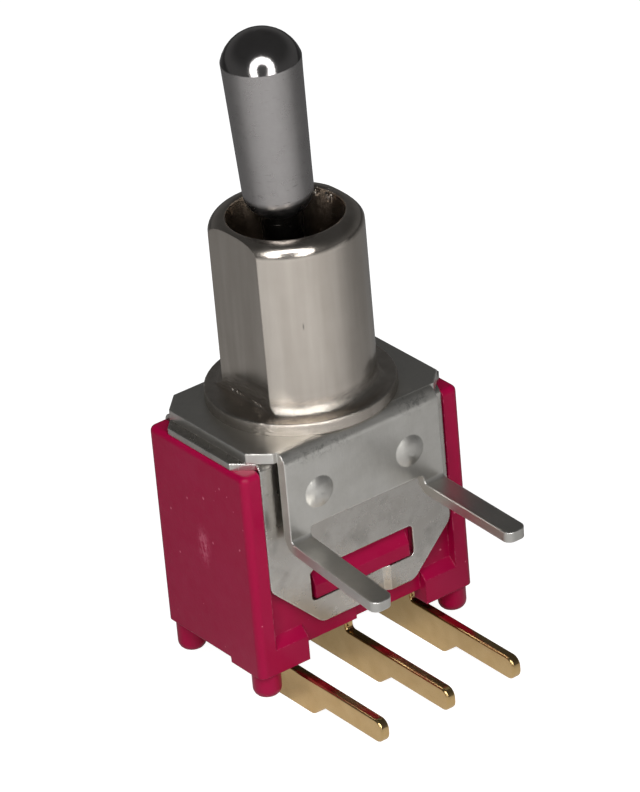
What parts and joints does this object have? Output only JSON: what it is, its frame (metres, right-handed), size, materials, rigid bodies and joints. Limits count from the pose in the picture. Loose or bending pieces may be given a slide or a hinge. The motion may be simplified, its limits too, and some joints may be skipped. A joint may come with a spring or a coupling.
{
  "type": "toggle switch",
  "caption": "Miniature toggle switch with a flatted bushing, a bat lever, a moulded case in a folded frame, and a bracket with right-angle board pins.",
  "frame": {"origin": "on the bushing's axis, in the flange's top face, which seats against a panel", "axes": "+Z along the bushing's axis towards the lever's tip, -Y the way the board pins point, X the way the lever swings"},
  "size_m": [0.0082, 0.0098, 0.0212],
  "materials": {
    "bushing_nickel": "satin nickel plate over turned brass",
    "lever_nickel": "nickel plate, satin on the cone and bright on the dome",
    "pin_steel": "ground",
    "plunger_nylon": "natural nylon",
    "spring_steel": "drawn wire",
    "frame_steel": "tin-plated sheet",
    "bracket_steel": "tin-plated sheet",
    "case_red": "moulded, semi-gloss",
    "terminal_gold": "gold flash over copper alloy",
    "contact_gold": "gold plate",
    "potting_resin": "epoxy, flat",
    "rocker_gold": "gold plate over copper alloy"
  },
  "bodies": {
    "housing": {"bushing": "bushing_nickel", "frame": "frame_steel", "bracket": "bracket_steel", "case": "case_red", "terminal_left": "terminal_gold", "terminal_centre": "terminal_gold", "terminal_right": "terminal_gold", "contact_left": "contact_gold", "contact_right": "contact_gold", "potting": "potting_resin"},
    "lever": {"lever": "lever_nickel", "pivot_pin": "pin_steel", "spring": "spring_steel"},
    "plunger": {"plunger": "plunger_nylon"},
    "rocker": {"rocker": "rocker_gold"}
  },
  "joints": [
    {"name": "lever_tilt", "type": "hinge", "parent": "housing", "child": "lever", "pos_m": [0, 0, 0.00214], "axis": [0, 1, 0], "range_deg": [-8.1, 12.9]},
    {"name": "rocker_tilt", "type": "hinge", "parent": "housing", "child": "rocker", "pos_m": [0, 0, -0.00401], "axis": [0, 1, 0], "range_deg": [-7.75, 4.87]},
    {"name": "plunger_slide", "type": "slide", "parent": "lever", "child": "plunger", "axis": [-0.0419, 0, 0.9991], "range_m": [0, 0.0003], "stiffness_N_per_m": 200, "springref_m": -0.0005, "deforming": ["spring"]}
  ],
  "couplings": [
    {"joint": "rocker_tilt", "follows": "lever_tilt", "ratio": -0.6}
  ]
}
